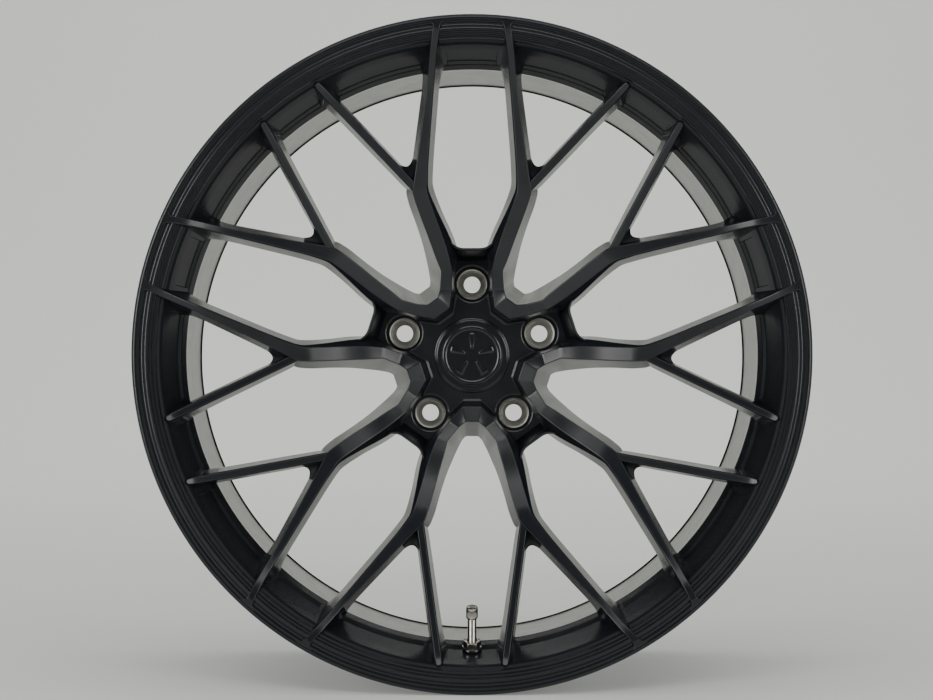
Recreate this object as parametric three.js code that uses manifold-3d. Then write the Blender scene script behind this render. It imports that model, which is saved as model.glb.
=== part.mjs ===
// Forged racing wheel rim, 22 x 10.5J: one aluminium forging with five lug holes and ten Y-shaped
// arms, five lug seat sleeves, a push-in centre cap and a clamp-in metal tyre valve.
// Lengths are millimetres and angles degrees. Shapes are worked out in the wheel's own frame, where
// +Z points out of the front face, and the wheel group is then turned so that the front faces -Y.
// A depth is measured back from the front edge of the rim.
import * as THREE from 'three';
import { mergeVertices } from 'three/addons/utils/BufferGeometryUtils.js';
import Module from 'manifold-3d';

const wasm = await Module();
wasm.setup();

// ---- driving dimensions ----
const beadSeatRadius = 279.4;     // 22 inch bead seat
const flangeHeight = 17.3;        // J flange above the bead seat
const flangeWidth = 13.3;
const rimWidth = 291;             // over both flanges
const wellDepth = 17.2;           // drop of the tyre well below the bead seat
const wellFront = 47;             // depth at which the well floor starts
const wellWidth = 23;
const barrelWall = 4.7;
const windowLedge = 2.4;          // from the inside of the well to the edge where the windows end
const windowDepth = 50;
const rimSides = 60;

const lugCount = 5;
const lugCircleRadius = 65;
const lugHoleRadius = 7.6;
const lugPocketRadius = 16.4;
const seatRadius = 13.8;          // outside of a lug seat sleeve
const seatDepth = 96.5;           // depth of the sleeve's front edge
const seatLength = 15.5;
const seatConeDepth = 7.5;
const seatMouthRadius = 12.4;

const hubFaceDepth = 88;
const padDepth = 120;             // depth of the rear mounting face
const padMargin = 11;             // mounting face beyond the lug circle
const hubFaceMargin = 1;          // hub front face beyond the lug circle; from there it widens to the back
const hubBoreRadius = 35.8;       // spigot bore in the mounting face
const hubBoreLength = 16;
const lugWebReach = 30.8;         // from the lug circle to the web that closes a lug window
const lugWebDepth = 52;           // depth of that web's front edge
const lugWebHalfWidth = 19;
const pocketWall = 1.6;           // metal between a lug pocket and the rib beside it

const kinkRadius = 152;           // where an arm divides into main arm and branch
const kinkAngle = 17.9;
const rootReach = 36;             // from the lug circle to where an arm leaves the hub
const rootAngle = 17.7;
const creaseReach = 14.5;         // from the lug circle to the crease in an arm's face
const creaseAngle = 16.7;
const mainTipAngle = 6.05;
const branchTipAngle = 29.9;
const branchTipInset = 24.5;      // from the rim edge to the branch tip's middle
const mainTipInset = 7.5;
const bandHalfWidth = 6;          // half the width of an arm's front face before it divides
const mainTipHalfWidth = 2.8;
const branchHalfWidth = 2.7;
const armBackGrowth = 5.4;        // how much wider an arm is at its back, each side

const ribInnerMargin = 12;        // from the cap's edge to the U rib's apex, hub side
const ribThickness = 13.6;        // of the apex, at its front face
const ribInnerHalf = 8.5;         // half the length of each apex flat
const ribOuterHalf = 5.7;
const ribDraft = 2.9;             // slope of the rib's hub side, front to hub face
const flankWidth = 7.4;           // sloped step along an arm's lug side, at the hub end
const flankDrop = 7;
const pocketRadialStart = 28.3;   // wall pockets, measured in from the rim edge
const pocketRadialEnd = 37.6;
const pocketSink = 2.2;

const capRadius = 34.2;
const capLedge = 2.4;             // width of the hub's ledge under the cap's edge
const capSkirtWall = 2;
const capRecessDepth = 4.2;
const emblemInset = 7.3;          // from the cap's edge to the emblem's
const emblemRingWidth = 2.7;

const valveTilt = 22.6;           // valve axis, from straight inward towards the front
const valveInset = 36.2;          // from the rim edge to where the valve axis leaves the front wall
const valveDepth = 40;
const grommetWall = 1.35;
const valveWeb = 6;               // metal left under the valve head
const valveLength = 38;           // from the wall to the stem's tip
const stemRadius = 4;
const stemWall = 1.8;
const nutReach = 4.1;             // from the stem to the nut's corners

const gap = 0.3;                  // between pieces that touch
const bigger = 600;               // reach of a cutter that only has to be large enough

// ---- small tools ----
const lipRadius = beadSeatRadius + flangeHeight;
const wellRadius = beadSeatRadius - wellDepth;
const windowRadius = wellRadius - barrelWall - windowLedge;
const padRadius = lugCircleRadius + padMargin;
const hubFaceRadius = lugCircleRadius + hubFaceMargin;
const lugWebRadius = lugCircleRadius + lugWebReach;
const rootRadius = lugCircleRadius + rootReach;
const creaseRadius = lugCircleRadius + creaseReach;
const capBoreRadius = capRadius - capLedge;
const emblemRadius = capRadius - emblemInset;
const ribInnerRadius = capRadius + ribInnerMargin;
const ribOuterRadius = ribInnerRadius + ribThickness;
const valveRadius = lipRadius - valveInset;
const valveHoleRadius = stemRadius + gap + grommetWall;
const stemBoreRadius = stemRadius - stemWall;
const nutRadius = stemRadius + nutReach;
const front = depth => rimWidth / 2 - depth;
const rad = THREE.MathUtils.degToRad;
const lerp = THREE.MathUtils.lerp;
const polar = (radius, degreesFromTop) =>
  new THREE.Vector2(radius * Math.sin(rad(degreesFromTop)), radius * Math.cos(rad(degreesFromTop)));

// A closed three.js geometry as a solid, facing out.
function solid(geometry) {
  const bare = geometry.clone();
  bare.deleteAttribute('normal');
  bare.deleteAttribute('uv');
  const merged = mergeVertices(bare, 1e-4);
  const triVerts = new Uint32Array(merged.index.array);
  const vertProperties = new Float32Array(merged.attributes.position.array);
  const made = new wasm.Manifold(new wasm.Mesh({ numProp: 3, vertProperties, triVerts }));
  if (made.volume() > 0) return made;
  triVerts.reverse();
  return new wasm.Manifold(new wasm.Mesh({ numProp: 3, vertProperties, triVerts }));
}

// A solid's triangles as a three.js geometry with flat faces.
function geometryOf(body) {
  const mesh = body.getMesh();
  const geometry = new THREE.BufferGeometry();
  geometry.setAttribute('position', new THREE.BufferAttribute(new Float32Array(mesh.vertProperties), 3));
  geometry.setIndex(new THREE.BufferAttribute(new Uint32Array(mesh.triVerts), 1));
  const flat = geometry.toNonIndexed();
  flat.computeVertexNormals();
  return flat;
}

// A ring turned about +Z from points [radius, height].
function turned(profile, sides = rimSides) {
  const points = profile.map(([radius, height]) => new THREE.Vector2(Math.max(radius, 0), height));
  return new THREE.LatheGeometry(points, sides).rotateX(Math.PI / 2);
}

// A ring turned about +Z from a closed loop of points [radius, depth].
const rimRing = (loop, sides) =>
  turned([...loop, loop[0]].map(([radius, depth]) => [radius, front(depth)]), sides);

// A plan outline carried from one depth to another.
function prism(outline, frontDepth, backDepth) {
  const shape = outline instanceof THREE.Shape ? outline : new THREE.Shape(outline);
  const height = backDepth - frontDepth;
  return new THREE.ExtrudeGeometry(shape, { depth: height, bevelEnabled: false, curveSegments: 6 })
    .translate(0, 0, front(backDepth));
}

const drum = (radius, frontDepth, backDepth, sides = 20) =>
  new THREE.CylinderGeometry(radius, radius, backDepth - frontDepth, sides)
    .rotateX(Math.PI / 2)
    .translate(0, 0, front((frontDepth + backDepth) / 2));

// A bar through a row of sections that each have the same number of corners: a cylinder's rings of
// vertices are moved to the corners, and its two end centres to the middle of the end sections.
function bar(sections) {
  const corners = sections[0].length;
  const steps = sections.length - 1;
  const geometry = new THREE.CylinderGeometry(1, 1, 1, corners, steps);
  const place = geometry.attributes.position;
  for (let i = 0; i < place.count; i++) {
    const section = sections[Math.round((0.5 - place.getY(i)) * steps)];
    const turn = Math.atan2(place.getX(i), place.getZ(i)) / (2 * Math.PI);
    const onAxis = Math.hypot(place.getX(i), place.getZ(i)) < 0.5;
    const corner = section[(Math.round(turn * corners) + corners) % corners];
    const middle = section.reduce((sum, c) => sum.add(c), new THREE.Vector3()).divideScalar(corners);
    place.setXYZ(i, ...(onAxis ? middle : corner).toArray());
  }
  return geometry;
}

const mirrored = geometry => geometry.clone().scale(-1, 1, 1);
const spun = (geometry, degrees) => geometry.clone().rotateZ(rad(degrees));
const lugTurns = Array.from({ length: lugCount }, (_, i) => (-360 / lugCount) * i);
const union = bodies => bodies.reduce((whole, body) => whole.add(body));

// Depth of the arms' front faces and of their backs at a radius: straight between the named places.
function along(places, radius) {
  const last = places.length - 1;
  let i = places.findIndex(([r]) => r > radius);
  if (i < 0) i = last;
  i = Math.max(i, 1);
  const [r0, d0] = places[i - 1];
  const [r1, d1] = places[i];
  return lerp(d0, d1, THREE.MathUtils.clamp((radius - r0) / (r1 - r0), 0, 1));
}
const ribDepth = 61;
const facePlaces = [
  [ribOuterRadius, ribDepth], [creaseRadius, 54], [rootRadius, 46.5], [(rootRadius + kinkRadius) / 2, 38.5],
  [kinkRadius, 32], [lerp(kinkRadius, windowRadius, 0.35), 26], [lerp(kinkRadius, windowRadius, 0.7), 20.5],
  [windowRadius, 14.5], [lipRadius - mainTipInset, 2.5],
];
const backPlaces = [
  [padRadius, 118], [rootRadius, 93], [(rootRadius + kinkRadius) / 2, 72], [kinkRadius, 58],
  [lerp(kinkRadius, windowRadius, 0.35), 52], [windowRadius, windowDepth + 2],
];
const faceDepth = radius => along(facePlaces, radius);
const backDepth = radius => along(backPlaces, radius);

// ---- rim: lip, well, barrel and rear flange ----
const wellBack = wellFront + wellWidth;
const taper = Math.tan(rad(5));
const frontSeatEnd = wellFront - 9;
const rearRampEnd = wellBack + 22;
const rearSeatStart = rimWidth - 39;
const barrelRadius = beadSeatRadius - 3.4;

// The tyre side, from the lip to the rear flange. The flange shape is the same at both ends.
const flangeShape = [[-2.5, 0], [-0.6, 0.9], [0, 3], [0, 9], [-1.5, 12], [-5.2, flangeWidth],
  [-flangeHeight + 4.6, flangeWidth + 0.4], [-flangeHeight + 1, flangeWidth + 2], [-flangeHeight, flangeWidth + 5]];
const tyreSide = [
  ...flangeShape.map(([r, d]) => [lipRadius + r, d]),
  [beadSeatRadius - taper * (frontSeatEnd - flangeWidth - 5), frontSeatEnd],
  [wellRadius, wellFront], [wellRadius, wellBack], [barrelRadius, rearRampEnd],
  [barrelRadius + 1.4, rearSeatStart - 4], [barrelRadius + 1.7, rearSeatStart],
  ...flangeShape.toReversed().map(([r, d]) => [lipRadius + r, rimWidth - d]),
];
// The inner side, from the rear flange forward to the window edge.
const innerSide = [
  [beadSeatRadius + 6, rimWidth], [beadSeatRadius + 1.6, rimWidth - 2], [beadSeatRadius - 4, rimWidth - 6],
  [beadSeatRadius - 6.2, rimWidth - 10], [barrelRadius - barrelWall, rearRampEnd + 4],
  [wellRadius - barrelWall, wellBack + 2], [windowRadius + 0.5, windowDepth + 6], [windowRadius, windowDepth],
];
// The terraced front wall, from the window edge out to the lip: distance in from the lip edge, depth.
const terraces = [
  [38, 43], [28, 20], [24.3, 12], [20.7, 8], [20.2, 6.1], [17.4, 6], [17, 4.1], [14.7, 4], [14.3, 1.8],
  [11.9, 1.8], [9.1, 3.5], [7.3, 3.5], [6.8, 1.6], [4, 1.5], [3.5, 0],
];
const frontWall = terraces.map(([inset, depth]) => [lipRadius - inset, depth]);
const rimLoop = [...tyreSide, ...innerSide, ...frontWall];

// Front wall pockets lie between the arms: two narrow ones and two wide ones for each lug.
const mainBayAngle = 4.85;
const wideBay = { middle: 18.2, half: 8.5 };
function sector(middle, half, inner, outer) {
  const shape = new THREE.Shape();
  const from = rad(90 - middle - half);
  const to = rad(90 - middle + half);
  shape.absarc(0, 0, outer, from, to, false);
  shape.absarc(0, 0, inner, to, from, true);
  return shape;
}
const pocketRing = solid(rimRing([
  [lipRadius - pocketRadialStart, 20.5 + pocketSink], [lipRadius - pocketRadialEnd, 42 + pocketSink],
  [lipRadius - pocketRadialEnd - 3, 40], [lipRadius - pocketRadialStart - 3, 15],
]));
function pocket(middle, half) {
  return pocketRing.intersect(solid(prism(sector(middle, half, windowRadius - 8, lipRadius), 0, windowDepth)));
}
const pockets = lugTurns.flatMap(turn => [
  pocket(-turn, mainBayAngle),
  pocket(-turn + 180 / lugCount, mainBayAngle),
  pocket(-turn + wideBay.middle, wideBay.half),
  pocket(-turn - wideBay.middle, wideBay.half),
]);

// The valve stands in the narrow bay at the bottom. Its own frame has +Z along the stem towards the
// wheel axis, with zero on the front wall.
const valveFrame = new THREE.Matrix4()
  .makeTranslation(0, -valveRadius, front(valveDepth))
  .multiply(new THREE.Matrix4().makeRotationX(rad(valveTilt - 90)));
const onValve = geometry => geometry.clone().applyMatrix4(valveFrame);
const valveDrum = (radius, low, high, sides = 24) =>
  new THREE.CylinderGeometry(radius, radius, high - low, sides)
    .rotateX(Math.PI / 2).translate(0, 0, (low + high) / 2);
const counterboreRadius = nutRadius + 0.9;
const valveCut = union([
  solid(onValve(valveDrum(valveHoleRadius, -30, 30))),
  solid(onValve(valveDrum(counterboreRadius, -30, -valveWeb))),
  solid(onValve(valveDrum(counterboreRadius + 1, 0, 12))),
]);

let rim = solid(rimRing(rimLoop)).subtract(union(pockets)).subtract(valveCut);
const ringCut = (from, to) =>
  rim.intersect(solid(drum(bigger, from, to, 12)));
const lipBack = wellFront - 13;
const rampSplit = wellBack - 1;
const wellSplit = rearRampEnd + 3;
const rearSplit = rearSeatStart - 5;

// ---- arms ----
// One section across an arm: its middle in plan, the unit vector towards its right, the half widths of
// its front face, of its back and of the step on its lug side, and its depths.
function section(middle, right, { face, backLeft, backRight, flank, flankDrop, top, back }) {
  const at = (offset, depth) =>
    new THREE.Vector3(middle.x + right.x * offset, middle.y + right.y * offset, front(depth));
  return [at(-face, top), at(face, top), at(backRight, back), at(-backLeft, back), at(-flank, top + flankDrop)];
}
const rightOf = (from, to) => {
  const way = to.clone().sub(from).normalize();
  return new THREE.Vector2(way.y, -way.x);
};
const root = polar(rootRadius, rootAngle);
const kink = polar(kinkRadius, kinkAngle);
const mainTip = polar(lipRadius - mainTipInset, mainTipAngle);
const branchTip = polar(lipRadius - branchTipInset, branchTipAngle);
const armRight = rightOf(root, kink);
const mainRight = rightOf(kink, mainTip);
const kinkRight = armRight.clone().add(mainRight).normalize();

function armSection(middle, right, face, extra, flank = null) {
  const radius = middle.length();
  const top = faceDepth(radius);
  const back = backDepth(radius);
  const backHalf = face + armBackGrowth + extra;
  return section(middle, right, {
    face, backLeft: backHalf, backRight: backHalf, top, back,
    flank: flank ?? lerp(face, backHalf, 0.3), flankDrop: flank ? flankDrop : (back - top) * 0.3,
  });
}
const between = (a, b, share) => a.clone().lerp(b, share);
function mainArm(extra) {
  const sections = [
    armSection(root, armRight, bandHalfWidth + extra, 2.6, bandHalfWidth + flankWidth + extra),
    armSection(between(root, kink, 0.5), armRight, bandHalfWidth + extra, 2, bandHalfWidth + flankWidth / 2 + extra),
    armSection(kink, kinkRight, bandHalfWidth + 0.2 + extra, 0.6),
  ];
  for (const share of [0.24, 0.5, 0.76, 1]) {
    const face = share < 0.5 ? lerp(bandHalfWidth, 3.4, share / 0.5) : lerp(3.4, mainTipHalfWidth, share * 2 - 1);
    sections.push(armSection(between(kink, mainTip, share), mainRight, face + extra, 0));
  }
  return bar(sections);
}
// The branch starts inside the divided arm and runs straight to its tip in the wide bay.
const branchStart = kink.clone().addScaledVector(kinkRight, 5).add(new THREE.Vector2(0, 3));
const branchRight = rightOf(branchStart, branchTip);
function branchArm() {
  return bar([0, 0.2, 0.45, 0.72, 1].map(share =>
    armSection(between(branchStart, branchTip, share), branchRight, branchHalfWidth, -1.4)));
}
// A low web fills the fork between main arm and branch.
const crotch = polar(178, 19.4);
const forkWeb = prism(
  [branchStart.clone(), crotch.clone().add(new THREE.Vector2(-8, 2)), crotch, crotch.clone().add(new THREE.Vector2(9, 1))],
  faceDepth(kinkRadius) + 6, backDepth(kinkRadius + 20));

// Room for the rim, the hub and the divided arm, each with its gap.
const rimRoom = solid(rimRing([
  [windowRadius - gap, windowDepth + 40], [windowRadius - gap, windowDepth],
  ...terraces.map(([inset, depth]) => [lipRadius - inset - gap, depth - gap]),
  [lipRadius + 10, -10], [lipRadius + 10, windowDepth + 40],
]));

// ---- hub ----
const lugMiddle = new THREE.Vector2(0, lugCircleRadius);
const ribTurn = 180 / lugCount;
// The U rib, worked out with its apex straight up and then turned: right half of its stations.
const ribEdge = lugPocketRadius + pocketWall;
const ribWidth = 9.9;
const ribStation = (inner, outer, wallBack, top, slope, slopeDepth) =>
  ({ inner, outer, wallBack, top, slope, slopeDepth });
function ribSections() {
  const turnToRib = v => v.clone().rotateAround(new THREE.Vector2(), rad(ribTurn));
  const rootPlane = ribStation(
    turnToRib(root.clone().addScaledVector(armRight, -bandHalfWidth)),
    turnToRib(root.clone().addScaledVector(armRight, bandHalfWidth)),
    turnToRib(root.clone().addScaledVector(armRight, bandHalfWidth + armBackGrowth + 2.6)),
    faceDepth(rootRadius), flankWidth, faceDepth(rootRadius) + flankDrop);
  const crease = polar(creaseRadius, creaseAngle);
  const creaseRow = ribStation(
    turnToRib(crease.clone().add(new THREE.Vector2(-5.2, 0.6))),
    turnToRib(crease.clone().add(new THREE.Vector2(5.2, -0.6))),
    turnToRib(crease.clone().add(new THREE.Vector2(18, 1))), faceDepth(creaseRadius), ribDraft + 1, hubFaceDepth);
  const kneeRow = ribStation(
    turnToRib(new THREE.Vector2(ribEdge, lugCircleRadius - 4)),
    turnToRib(new THREE.Vector2(ribEdge + ribWidth, lugCircleRadius - 4)),
    turnToRib(new THREE.Vector2(ribEdge + 2 * ribWidth + 1.5, lugCircleRadius)), ribDepth, ribDraft, hubFaceDepth);
  const apexRow = ribStation(
    new THREE.Vector2(-ribInnerHalf, ribInnerRadius), new THREE.Vector2(-ribOuterHalf, ribOuterRadius),
    new THREE.Vector2(-6.2, padRadius - 1), ribDepth, ribDraft, hubFaceDepth);
  const half = [rootPlane, creaseRow, kneeRow, apexRow];
  const flip = v => new THREE.Vector2(-v.x, v.y);
  const otherHalf = half.toReversed().map(s =>
    ribStation(flip(s.inner), flip(s.outer), flip(s.wallBack), s.top, s.slope, s.slopeDepth));
  return [...half, ...otherHalf].map(({ inner, outer, wallBack, top, slope, slopeDepth }) => {
    const middle = inner.clone().add(outer).multiplyScalar(0.5);
    const low = inner.clone().add(inner.clone().sub(middle).setLength(slope));
    const back = Math.min(backDepth(wallBack.length()), padDepth);
    return [
      new THREE.Vector3(inner.x, inner.y, front(top)), new THREE.Vector3(outer.x, outer.y, front(top)),
      new THREE.Vector3(wallBack.x, wallBack.y, front(back)), new THREE.Vector3(low.x, low.y, front(back)),
      new THREE.Vector3(low.x, low.y, front(slopeDepth)),
    ];
  });
}
const ribs = lugTurns.map(turn => solid(spun(bar(ribSections()), turn - ribTurn)));

// The web that closes a lug window: a section across it, carried sideways between the two arms.
const webShape = new THREE.Shape([
  [lugWebRadius, lugWebDepth], [lugWebRadius - 2.4, lugWebDepth + 0.6], [lugWebRadius - 10.3, hubFaceDepth],
  [lugCircleRadius, hubFaceDepth], [lugCircleRadius, padDepth], [padRadius, padDepth],
  [lugWebRadius - 4, 98], [lugWebRadius, 86],
].map(([radius, depth]) => new THREE.Vector2(radius, front(depth))));
const web = new THREE.ExtrudeGeometry(webShape, { depth: 2 * lugWebHalfWidth, bevelEnabled: false })
  .translate(0, 0, -lugWebHalfWidth)
  .applyMatrix4(new THREE.Matrix4().makeBasis(
    new THREE.Vector3(0, 1, 0), new THREE.Vector3(0, 0, 1), new THREE.Vector3(1, 0, 0)));
const webs = lugTurns.map(turn => solid(spun(web, turn)));

// Everything outside the arms' root planes belongs to the arms.
function rootCutter(side, turn) {
  const reach = root.clone().addScaledVector(armRight, -40);
  const far = root.clone().addScaledVector(armRight, 26);
  const out = new THREE.Vector2(-armRight.y, armRight.x).multiplyScalar(60);
  const outline = [reach, far, far.clone().add(out), reach.clone().add(out)];
  const block = prism(outline.map(p => new THREE.Vector2(Math.max(p.x, lugWebHalfWidth - 5), p.y)), 20, 130);
  return solid(spun(side < 0 ? mirrored(block) : block, turn));
}
const spunAll = make => lugTurns.flatMap(turn => [make(1, turn), make(-1, turn)]);
const lugAt = (radius, from, to, sides) => lugTurns.map(turn =>
  solid(spun(drum(radius, from, to, sides).translate(lugMiddle.x, lugMiddle.y, 0), turn)));

const hubDisc = solid(rimRing([
  [hubBoreRadius, padDepth], [hubBoreRadius, padDepth - hubBoreLength], [capBoreRadius, padDepth - hubBoreLength],
  [capBoreRadius, hubFaceDepth + capRecessDepth], [capRadius + gap, hubFaceDepth + capRecessDepth],
  [capRadius + gap, hubFaceDepth], [hubFaceRadius, hubFaceDepth], [padRadius, padDepth - 2], [padRadius, padDepth],
], 40));
const reliefPocket = prism(sector(0, 11, hubBoreRadius + 12.2, lugCircleRadius + 3), padDepth - 9, padDepth + 1);
const hub = union([hubDisc, ...ribs, ...webs])
  .subtract(union(lugAt(lugPocketRadius, 20, seatDepth)))
  .subtract(union(lugAt(seatRadius + gap, seatDepth - 1, seatDepth + seatLength + gap)))
  .subtract(union(lugAt(lugHoleRadius + 0.4, 20, padDepth + 1)))
  .subtract(union(lugTurns.map(turn => solid(spun(reliefPocket, turn - ribTurn)))))
  .intersect(solid(drum(bigger, 0, padDepth, 12)))
  .subtract(union(spunAll(rootCutter)));

// The hub is held as a block around each lug hole and a wedge under each rib, side by side with a gap.
const blockHalf = lugPocketRadius + 0.7;
const wedgeHalfAngle = 3;
function lugBlock(turn, inset) {
  const half = blockHalf - inset;
  const start = half / Math.tan(rad(180 / lugCount - wedgeHalfAngle));
  const outline = [[0, 0], [half, start], [half, bigger], [-half, bigger], [-half, start]];
  return solid(spun(prism(outline.map(([x, y]) => new THREE.Vector2(x, y)), 0, padDepth + 1), turn));
}
const wedges = hub.subtract(union(lugTurns.map(turn => lugBlock(turn, -gap / 2))));
const hubWedge = turn =>
  wedges.intersect(solid(spun(prism(sector(0, 180 / lugCount, 1, bigger), 0, padDepth + 1), turn - ribTurn)));

// ---- materials ----
const paint = (colour, roughness, metalness) =>
  new THREE.MeshStandardMaterial({ color: colour, roughness, metalness });
const satinBlack = paint(0x17191e, 0.38, 0.3);
const bareSteel = paint(0x8c8c8a, 0.35, 1);
const capBlack = paint(0x1b1d22, 0.45, 0.1);
const emblemFinish = paint(0x2c2e33, 0.35, 0.4);
const rubberBlack = paint(0x101012, 0.85, 0);
const nickel = paint(0xb9b6ae, 0.3, 1);
const brass = paint(0xb08d4a, 0.35, 1);

// ---- the wheel ----
const wheel = new THREE.Group();
wheel.rotation.x = Math.PI / 2;
function piece(name, geometry, material) {
  const mesh = new THREE.Mesh(geometryOf(solid(geometry)), material.clone());
  mesh.name = name;
  wheel.add(mesh);
}
const largest = body => body.decompose().reduce((a, b) => (a.volume() > b.volume() ? a : b));

piece('rim_front_lip', geometryOf(ringCut(-1, lipBack)), satinBlack);
piece('rim_well', geometryOf(ringCut(lipBack + gap, rampSplit)), satinBlack);
piece('rim_well_ramp', geometryOf(ringCut(rampSplit + gap, wellSplit)), satinBlack);
piece('rim_barrel', geometryOf(ringCut(wellSplit + gap, rearSplit)), satinBlack);
piece('rim_rear_flange', geometryOf(ringCut(rearSplit + gap, rimWidth + 1)), satinBlack);
for (const [i, turn] of lugTurns.entries()) {
  piece(`hub_lug_${i + 1}`, geometryOf(largest(hub.intersect(lugBlock(turn, gap / 2)))), satinBlack);
  piece(`hub_rib_${i + 1}`, geometryOf(largest(hubWedge(turn))), satinBlack);
}

// Each lug has an arm on both sides. Arms keep clear of the rim, and branches of the divided arm too.
const armBody = largest(solid(mainArm(0)).subtract(rimRoom));
const branchBody = largest(
  solid(branchArm()).add(solid(forkWeb)).subtract(solid(mainArm(gap))).subtract(rimRoom));
for (const [i, turn] of lugTurns.entries()) {
  for (const [side, scale] of [['right', 1], ['left', -1]]) {
    const put = body => spun(geometryOf(body).scale(scale, 1, 1), turn);
    piece(`spoke_${i + 1}_${side}`, put(armBody), satinBlack);
    piece(`branch_${i + 1}_${side}`, put(branchBody), satinBlack);
  }
}

// Steel seat sleeves, pressed into the lug holes from the front.
const seatBack = seatDepth + seatLength;
const seatSleeve = rimRing([
  [seatMouthRadius, seatDepth], [seatRadius - 0.8, seatDepth], [seatRadius, seatDepth + 0.8],
  [seatRadius, seatBack], [lugHoleRadius, seatBack], [lugHoleRadius, seatDepth + seatConeDepth],
], 24).translate(lugMiddle.x, lugMiddle.y, 0);
for (const [i, turn] of lugTurns.entries())
  piece(`lug_seat_${i + 1}`, spun(seatSleeve, turn), bareSteel);

// Centre cap: a flush disc with a skirt in the cap bore, held by a rubber ring in the skirt's groove.
const capUnder = hubFaceDepth + capRecessDepth - gap;
const skirtRadius = capBoreRadius - 0.4;
const skirtEnd = capUnder + 11;
const grooveFront = capUnder + 4.4;
const grooveWidth = 2.8;
const grooveRadius = skirtRadius - 1.4;
const emblemSeat = hubFaceDepth + 1.4;
const onAxis = (profile, sides) => turned(profile.map(([r, d]) => [r, front(d)]), sides);
piece('center_cap', onAxis([
  [0, emblemSeat], [emblemRadius + gap, emblemSeat], [emblemRadius + gap, hubFaceDepth],
  [capRadius - 0.8, hubFaceDepth], [capRadius, hubFaceDepth + 0.8], [capRadius, capUnder],
  [skirtRadius, capUnder], [skirtRadius, grooveFront], [grooveRadius, grooveFront],
  [grooveRadius, grooveFront + grooveWidth], [skirtRadius, grooveFront + grooveWidth],
  [skirtRadius, skirtEnd], [grooveRadius - capSkirtWall, skirtEnd], [grooveRadius - capSkirtWall, capUnder],
  [0, capUnder],
], 40), capBlack);
piece('center_cap_emblem', onAxis([
  [0, emblemSeat - gap], [emblemRadius, emblemSeat - gap], [emblemRadius, hubFaceDepth],
  [emblemRadius - emblemRingWidth, hubFaceDepth], [emblemRadius - emblemRingWidth, hubFaceDepth + 0.5],
  [0, hubFaceDepth + 0.5],
], 40), emblemFinish);
const ringThick = (capBoreRadius - 0.12 - grooveRadius - gap) / 2;
const ringMiddle = grooveRadius + gap + ringThick;
const ringLoop = Array.from({ length: 6 }, (_, i) =>
  [ringMiddle + ringThick * Math.cos(rad(60 * i)), grooveFront + grooveWidth / 2 + ringThick * Math.sin(rad(60 * i))]);
piece('center_cap_ring', rimRing(ringLoop, 40), rubberBlack);

// Tyre valve, from the tyre side to its cap.
const headTop = -valveWeb - gap - 2.5;
const headBottom = headTop - gap - 2.8;
const stemHole = stemRadius + gap;
const headRadius = stemRadius + 3.5;
const airwayRadius = 1.2;
const coreSpace = valveLength - 19;
const valveLoop = (loop, sides = 20) => onValve(turned([...loop, loop[0]], sides));
piece('valve_grommet', valveLoop([
  [stemHole, headTop], [headRadius + 0.5, headTop], [headRadius + 0.5, -valveWeb - gap], [valveHoleRadius - gap, -valveWeb - gap],
  [valveHoleRadius - gap, -1], [stemHole, -1],
]), rubberBlack);
piece('valve_stem', valveLoop([
  [airwayRadius, headBottom], [headRadius, headBottom], [headRadius, headTop - gap], [stemRadius, headTop - gap],
  [stemRadius, valveLength - 0.7], [stemRadius - 0.7, valveLength], [stemBoreRadius, valveLength],
  [stemBoreRadius, coreSpace], [airwayRadius, coreSpace],
]), nickel);
const washerTop = gap + 1.5;
piece('valve_washer', valveLoop([
  [stemHole, gap], [nutRadius + 0.5, gap], [nutRadius + 0.5, washerTop], [stemHole, washerTop],
]), nickel);
const hexagon = new THREE.Shape(Array.from({ length: 6 }, (_, i) => {
  const turn = rad(60 * i);
  return new THREE.Vector2(nutRadius * Math.cos(turn), nutRadius * Math.sin(turn));
}));
hexagon.holes.push(new THREE.Path().absarc(0, 0, stemHole, 0, 2 * Math.PI, true));
const nut = new THREE.ExtrudeGeometry(hexagon, { depth: 6, bevelEnabled: false, curveSegments: 20 })
  .translate(0, 0, washerTop + gap);
piece('valve_nut', onValve(nut), nickel);
const coreTop = valveLength - 3;
const coreBottom = valveLength - 14.5;
piece('valve_core', valveLoop([
  [0.8, coreBottom], [stemBoreRadius - gap, coreBottom], [stemBoreRadius - gap, coreTop], [0.8, coreTop],
], 16), brass);
piece('valve_core_pin', onValve(turned([
  [0, coreBottom - 1.6], [1.6, coreBottom - 1.6], [1.6, coreBottom - 0.4], [0.5, coreBottom - 0.4],
  [0.5, valveLength - 1.2], [0, valveLength - 1.2],
], 12)), brass);
const sealBottom = valveLength + 0.4;
const sealTop = sealBottom + 1;
const capInside = sealTop + 0.4;
piece('valve_cap_seal', valveLoop([
  [stemBoreRadius, sealBottom], [stemRadius, sealBottom], [stemRadius, sealTop], [stemBoreRadius, sealTop],
], 16), rubberBlack);
piece('valve_cap', onValve(turned([
  [0, capInside + 1.8], [stemHole + 0.3, capInside + 1.8], [stemHole + 0.9, capInside + 1.2],
  [stemHole + 0.9, valveLength - 7],
  [stemHole, valveLength - 7], [stemHole, capInside], [0, capInside],
], 20)), nickel);

export default wheel;
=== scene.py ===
import math

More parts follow.
